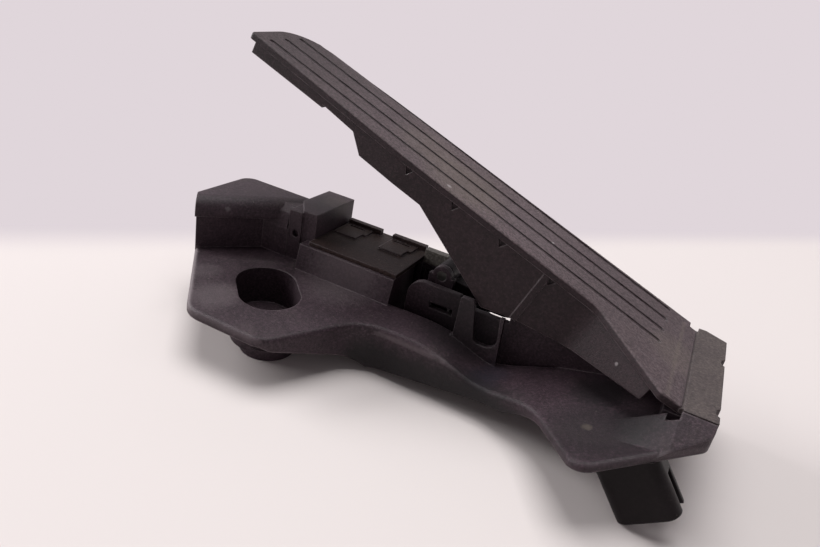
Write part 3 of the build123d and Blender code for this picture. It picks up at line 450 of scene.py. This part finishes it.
# metal with drawing marks and a dull film
def makeMetal(name, look):
    material, tree, shader = newMaterial(name)
    shader.inputs["Metallic"].default_value = 1.0
    grain = placeGroup(tree, mouldGrain, Size=look["grainSize"], Tone_Size=look["toneSize"])
    scratch = placeGroup(tree, fineScratches, Turn=look["scratchTurn"], Cover=look["filmCover"])
    tone = rampNode(tree, grain.outputs["Tone"], *look["toneSpan"])
    shade = tint(tree, look["dark"], look["light"], tone, 1.0)
    shade = tint(tree, shade, look["filmColour"], scratch.outputs["Mask"], look["film"])
    rough = gainNode(tree, grain.outputs["Tone"], look["roughSpread"], look["roughLeast"])
    bump = setInputs(addNode(tree, "ShaderNodeBump"), Strength=look["grain"], Distance=look["grainDepth"])
    joinUp(
        tree,
        (shade, shader.inputs["Base Color"]),
        (rough, shader.inputs["Roughness"]),
        (grain.outputs["Height"], bump.inputs["Height"]),
        (bump.outputs["Normal"], shader.inputs["Normal"]),
    )
    return material


def changed(start, **changes):
    return {**start, **changes}


whiteScuff = colour(0.52, 0.48, 0.49)
# grey of rubbed plastic, also used as painted light on the sensor box's near face and as painted highlight
# along rims
rubAndHighlightGrey = colour(0.15, 0.122, 0.13)
khakiDust = colour(0.24, 0.205, 0.15)
# painted shade for recesses, faces under the tread and a face with too much sheen
paintedShade = colour(0.007, 0.0055, 0.0065)
# painted shade for the saddle's concave fold
coolPaintedShade = colour(0.013, 0.0125, 0.021)

plasticStart = {
    "dark": colour(0.0240, 0.0138, 0.0185),
    "light": colour(0.0385, 0.0235, 0.0305),
    "toneSize": 0.03,
    "toneSpan": (0.3, 0.7),
    "speckle": 0.75,
    "palerBy": 1.7,
    "paleSpan": (0.48, 0.72),
    "deeperBy": 0.5,
    "deepSpan": (0.5, 0.28),
    "grain": 0.6,
    "grainSize": 0.00035,
    "grainDepth": 0.0002,
    "rough": 0.52,
    "roughSpread": 0.2,
    "gloss": 0.27,
    "wear": 0.7,
    "wearCover": 0.58,
    "wearSmooth": 0.12,
    "wornAndHighlightColour": colour(0.16, 0.13, 0.138),
    "dust": 0.18,
    "dustSize": 0.022,
    "dustCover": 0.42,
    "dustRough": 0.3,
    "dustColour": colour(0.26, 0.225, 0.20),
    "specks": 0.3,
    "scratches": 0.16,
    "scratchCover": 0.35,
    "scratchTurn": (0.0, 0.0, 0.4),
    "top": 0.0,  # how far a walked-on top turns grey
    "topColour": colour(0.130, 0.094, 0.101),
    "topSpots": [],
    "mottleSpan": (0.35, 0.66),
    "mottleGain": 0.9,
    "mottleBase": 0.5,
    "spots": [],
    "lines": [],
}

# a spot is its place, reach, strength and colour, and a line its start, run, reach, strength and colour
housingLook = changed(
    plasticStart,
    spots=[
        ((-0.0481, 0.0252, 0.0460), 0.0020, 0.12, whiteScuff),  # nick on the hood
        ((-0.0205, -0.0134, 0.0240), 0.0170, 0.32, rubAndHighlightGrey),  # toe lobe beside the bolt well
        ((-0.0390, 0.0019, 0.0240), 0.0110, 0.2, rubAndHighlightGrey),
        ((-0.0110, 0.0660, 0.0510), 0.0120, 0.12, khakiDust),  # top of the stop post
        # painted light that lifts the sensor box's near face, which leans up towards the light
        ((0.0150, 0.0330, 0.0310), 0.0280, 0.32, rubAndHighlightGrey),  # near face of the sensor box
        # painted shade on the heel tray under the tread, in the cradle's recess, at the rocker's far ear
        # and on the stop post under the tread
        ((0.1480, 0.0000, 0.0285), 0.0300, 0.6, paintedShade),  # heel tray
        ((0.0780, 0.0400, 0.0300), 0.0340, 0.7, paintedShade),  # tab and cradle walls
        ((0.0500, 0.0800, 0.0400), 0.0200, 0.7, paintedShade),  # far ear of the rocker
        ((-0.0110, 0.0600, 0.0500), 0.0180, 0.4, paintedShade),  # stop post
        # painted shade in the saddle's concave fold
        ((0.0970, 0.0190, 0.0165), 0.0110, 0.6, coolPaintedShade),  # saddle
        ((0.1000, 0.0280, 0.0170), 0.0100, 0.5, coolPaintedShade),
        ((0.1441, 0.0005, 0.0281), 0.0030, 0.14, khakiDust),  # smudge on the heel tray
        # painted shade that damps the heel ramp's sheen, and the tread's painted shadow on the heel tray
        ((0.1625, 0.0085, 0.0330), 0.0190, 0.7, paintedShade),  # heel ramp
        ((0.1440, 0.0280, 0.0290), 0.0200, 0.8, paintedShade),  # heel tray under the tread
    ],
    lines=[
        # rubbed wear and a painted highlight along the toe lobe's rounded lip
        ((-0.0595, 0.0160, 0.0230), (0.0375, -0.0455, 0.0), 0.0030, 0.85, rubAndHighlightGrey),  # toe lobe's lip
        ((-0.0220, -0.0295, 0.0230), (0.0395, 0.0, 0.0), 0.0024, 0.3, rubAndHighlightGrey),
        # painted highlight along the neck's rounded rim
        ((0.0400, 0.0142, 0.0213), (0.0400, -0.0007, 0.0), 0.0022, 0.4, rubAndHighlightGrey),  # neck's rim
        ((0.0800, 0.0135, 0.0213), (0.0170, -0.0005, -0.0046), 0.0022, 0.4, rubAndHighlightGrey),
        # painted highlight along the heel tray's rounded rim
        ((0.1460, -0.0260, 0.0285), (0.0385, 0.0300, 0.0090), 0.0022, 0.2, rubAndHighlightGrey),  # heel tray's rim
        # painted shade on the wall under the neck's overhanging rim
        ((0.0300, 0.0140, 0.0080), (0.0850, -0.0010, 0.0030), 0.0150, 0.9, paintedShade),  # wall under the neck
    ],
)
treadLook = changed(
    plasticStart,
    dark=colour(0.0140, 0.0070, 0.0090),
    light=colour(0.0215, 0.0116, 0.0145),
    top=0.9,
    spots=[
        ((0.0573, 0.0384, 0.0877), 0.0016, 0.45, whiteScuff),  # nicks
        ((0.1029, 0.0589, 0.0708), 0.0011, 0.5, whiteScuff),
        ((0.1456, 0.0224, 0.0456), 0.0012, 0.3, whiteScuff),
        ((0.1660, 0.0450, 0.0470), 0.0200, 0.12, khakiDust),  # beside the hinge
    ],
    topSpots=[
        ((0.0600, 0.0520, 0.0870), 0.0300, 0.25, khakiDust),  # under the ball of the foot
        ((0.0350, 0.0600, 0.0960), 0.0220, 0.18, khakiDust),
        ((0.0950, 0.0600, 0.0740), 0.0260, 0.2, rubAndHighlightGrey),
    ],
    lines=[((0.1655, 0.0110, 0.0472), (0.0, 0.0680, 0.0), 0.0018, 0.12, khakiDust)],  # along the hinge
    scratchTurn=(0.0, radians(20.3), 0.0),
    scratchCover=0.7,
    scratches=0.8,
    dust=0.12,
)
clipLook = changed(
    plasticStart,
    dark=colour(0.046, 0.034, 0.0345),
    light=colour(0.066, 0.051, 0.049),
    dust=0.3,
    dustCover=0.55,
    lines=[((0.1745, 0.0110, 0.0470), (0.0, 0.0680, 0.0), 0.0013, 0.5, khakiDust)],  # along the hinge
)
lidLook = changed(
    plasticStart,
    dark=colour(0.019, 0.0105, 0.0095),
    light=colour(0.029, 0.0165, 0.0150),
    gloss=0.18,
    dust=0.14,
)
socketLook = changed(
    plasticStart,
    dark=colour(0.008, 0.006, 0.0065),
    light=colour(0.012, 0.009, 0.0098),
    grain=0.12,
    rough=0.4,
    gloss=0.1,
    speckle=0.2,
    wear=0.3,
    dust=0.08,
)
rockerLook = changed(
    plasticStart,
    dark=colour(0.010, 0.0075, 0.0085),
    light=colour(0.015, 0.0115, 0.013),
    gloss=0.15,
    wear=0.3,
    dust=0.1,
)
shoeLook = changed(
    plasticStart,
    dark=colour(0.10, 0.09, 0.08),
    light=colour(0.13, 0.12, 0.105),
    wear=0.2,
    grain=0.15,
)
sealLook = changed(
    plasticStart,
    dark=colour(0.012, 0.012, 0.012),
    light=colour(0.018, 0.018, 0.018),
    rough=0.75,
    wear=0.0,
)
boardLook = changed(
    plasticStart,
    dark=colour(0.012, 0.09, 0.04),
    light=colour(0.02, 0.12, 0.055),
    rough=0.35,
    grain=0.1,
    wear=0.1,
)
chipLook = changed(
    plasticStart,
    dark=colour(0.012, 0.012, 0.012),
    light=colour(0.02, 0.02, 0.02),
    rough=0.5,
    grain=0.15,
    wear=0.1,
)

metalStart = {
    "dark": colour(0.22, 0.212, 0.20),
    "light": colour(0.34, 0.33, 0.31),
    "toneSize": 0.008,
    "toneSpan": (0.3, 0.7),
    "film": 0.5,
    "filmCover": 0.6,
    "filmColour": colour(0.16, 0.15, 0.135),
    "scratchTurn": (0.0, 0.0, 1.2),
    "grain": 0.1,
    "grainSize": 0.0003,
    "grainDepth": 0.0001,
    "roughLeast": 0.2,
    "roughSpread": 0.25,
}
springLook = changed(metalStart, dark=colour(0.3, 0.3, 0.31), light=colour(0.42, 0.42, 0.43))
terminalLook = changed(metalStart, dark=colour(0.6, 0.57, 0.5), light=colour(0.75, 0.72, 0.64))
bushLook = changed(metalStart, dark=colour(0.4, 0.27, 0.12), light=colour(0.52, 0.37, 0.18))
magnetLook = changed(metalStart, roughLeast=0.1)

# one finish for each of the record's material slots
finishes = {
    "housing_plastic": makePlastic("housingPlastic", housingLook),
    "tread_plastic": makePlastic("treadPlastic", treadLook),
    "clip_plastic": makePlastic("clipPlastic", clipLook),
    "lid_plastic": makePlastic("lidPlastic", lidLook),
    "socket_plastic": makePlastic("socketPlastic", socketLook),
    "rocker_plastic": makePlastic("rockerPlastic", rockerLook),
    "shoe_plastic": makePlastic("shoePlastic", shoeLook),
    "seal_rubber": makePlastic("sealRubber", sealLook),
    "board_laminate": makePlastic("boardLaminate", boardLook),
    "chip_resin": makePlastic("chipResin", chipLook),
    "plated_steel": makeMetal("platedSteel", metalStart),
    "spring_steel": makeMetal("springSteel", springLook),
    "terminal_metal": makeMetal("terminalMetal", terminalLook),
    "bush_bronze": makeMetal("bushBronze", bushLook),
    "magnet_metal": makeMetal("magnetMetal", magnetLook),
}
print("finishes made:", len(finishes))

slotOfNode = {row["node"]: row["material_slot"] for row in frame["record"]["subparts"]}
for nodeName, node in frame["nodes"].items():
    node.data.materials.clear()
    node.data.materials.append(finishes[slotOfNode[nodeName]])
print("nodes dressed:", len(slotOfNode))

# floor, which turns into the lit backdrop behind a soft line
black = colour(0.0, 0.0, 0.0)
backdropGlow = colour(0.745, 0.672, 0.708)
floorLook = {
    "size": 12.0,
    "near": colour(0.70, 0.645, 0.634),
    "glow": backdropGlow,
    "rough": 0.8,
    "lineStart": (-0.165, -0.014, 0.0),
    "lineTurn": (0.0, 0.0, 0.859),
    "blur": 0.02,
}


def makeFloor(look):
    bpy.ops.object.select_all(action="DESELECT")
    bpy.ops.mesh.primitive_plane_add(size=look["size"])
    floor = bpy.context.object
    floor.name = "studioFloor"
    material, tree, shader = newMaterial("paleFloor")
    coords = addNode(tree, "ShaderNodeTexCoord")
    mapping = addNode(tree, "ShaderNodeMapping", vector_type="TEXTURE")
    setInputs(mapping, Location=look["lineStart"], Rotation=look["lineTurn"])
    split = addNode(tree, "ShaderNodeSeparateXYZ")
    joinUp(
        tree,
        (coords.outputs["Object"], mapping.inputs["Vector"]),
        (mapping.outputs["Vector"], split.inputs[0]),
    )
    behind = rampNode(tree, split.outputs["Y"], -look["blur"], look["blur"])
    shade = tint(tree, look["near"], black, behind, 1.0)
    joinUp(tree, (shade, shader.inputs["Base Color"]), (behind, shader.inputs["Emission Strength"]))
    setInputs(shader, Emission_Color=look["glow"], Roughness=look["rough"], Specular_IOR_Level=0.0)
    floor.data.materials.append(material)


makeFloor(floorLook)

# round backdrop, lit from within and dimmer on the camera's side
backdropLook = {
    "radius": 4.5,
    "height": 2.6,
    "facets": 96,
    "heading": (-0.372, 0.928, 0.0),
    "glow": backdropGlow,
    "dim": colour(0.38, 0.345, 0.36),
    "fade": 0.5,  # of the radius, each side of the middle
}


def makeBackdrop(look):
    bpy.ops.object.select_all(action="DESELECT")
    bpy.ops.mesh.primitive_cylinder_add(
        vertices=look["facets"],
        radius=look["radius"],
        depth=look["height"],
        end_fill_type="NOTHING",
        location=(0.0, 0.0, look["height"] / 2),
    )
    wall = bpy.context.object
    wall.name = "studioBackdrop"
    bpy.ops.object.transform_apply(location=True, rotation=True, scale=True)
    material, tree, shader = newMaterial("litBackdrop")
    place = addNode(tree, "ShaderNodeTexCoord").outputs["Object"]
    along = vectorNode(tree, "DOT_PRODUCT", place, look["heading"]).outputs["Value"]
    reach = look["fade"] * look["radius"]
    behind = rampNode(tree, along, -reach, reach)
    joinUp(tree, (tint(tree, look["dim"], look["glow"], behind, 1.0), shader.inputs["Emission Color"]))
    setInputs(shader, Base_Color=black, Specular_IOR_Level=0.0, Emission_Strength=1.0)
    wall.data.materials.append(material)


makeBackdrop(backdropLook)
print("floor and backdrop made")

# soft studio light
lightLook = {
    "keyPlace": (-0.35, 0.6, 3.2),
    "keyAim": (0.05, 0.1, 0.0),
    "keySize": 2.4,
    "keyPower": 99.0,
    "sidePlace": (-2.4, -0.3, 1.05),
    "sideAim": (0.05, 0.03, 0.03),
    "sideSize": 1.4,
    "sidePower": 58.0,
    "worldColour": colour(0.96, 0.92, 0.95),
    "worldStrength": 0.13,
}


def addSoftbox(name, place, aim, size, power):
    bpy.ops.object.select_all(action="DESELECT")
    bpy.ops.object.light_add(type="AREA", location=place)
    lamp = bpy.context.object
    lamp.name = name
    lamp.data.shape = "SQUARE"
    lamp.data.size = size
    lamp.data.energy = power
    lamp.rotation_mode = "QUATERNION"
    lamp.rotation_quaternion = (Vector(aim) - Vector(place)).to_track_quat("-Z", "Y")


for lampName in ("key", "side"):
    addSoftbox(
        lampName + "Softbox",
        lightLook[lampName + "Place"],
        lightLook[lampName + "Aim"],
        lightLook[lampName + "Size"],
        lightLook[lampName + "Power"],
    )
world = bpy.context.scene.world or bpy.data.worlds.new("studioWorld")
bpy.context.scene.world = world
world.use_nodes = True
background = world.node_tree.nodes["Background"]
setInputs(background, Color=lightLook["worldColour"], Strength=lightLook["worldStrength"])
bpy.context.scene.view_settings.view_transform = "Standard"
print("light set")

# camera at the photograph's place, a little rolled
cameraLook = {
    "place": (0.1485, -0.2135, 0.1711),
    "right": (0.8794, 0.4428, 0.1756),
    "up": (-0.3376, 0.3189, 0.8858),
    "forward": (-0.3358, 0.8380, -0.4295),
    "lens": 28.67,
    "sensor": 36.0,
    "nearest": 0.005,
    "farthest": 20.0,
}
bpy.ops.object.select_all(action="DESELECT")
bpy.ops.object.camera_add()
camera = bpy.context.object
camera.name = "photoCamera"
axes = Matrix((cameraLook["right"], cameraLook["up"], -Vector(cameraLook["forward"]))).transposed()
camera.rotation_mode = "QUATERNION"
camera.rotation_quaternion = axes.to_quaternion()
camera.location = cameraLook["place"]
camera.data.sensor_width = cameraLook["sensor"]
camera.data.lens = cameraLook["lens"]
camera.data.clip_start = cameraLook["nearest"]
camera.data.clip_end = cameraLook["farthest"]
bpy.context.scene.camera = camera
print("camera set")
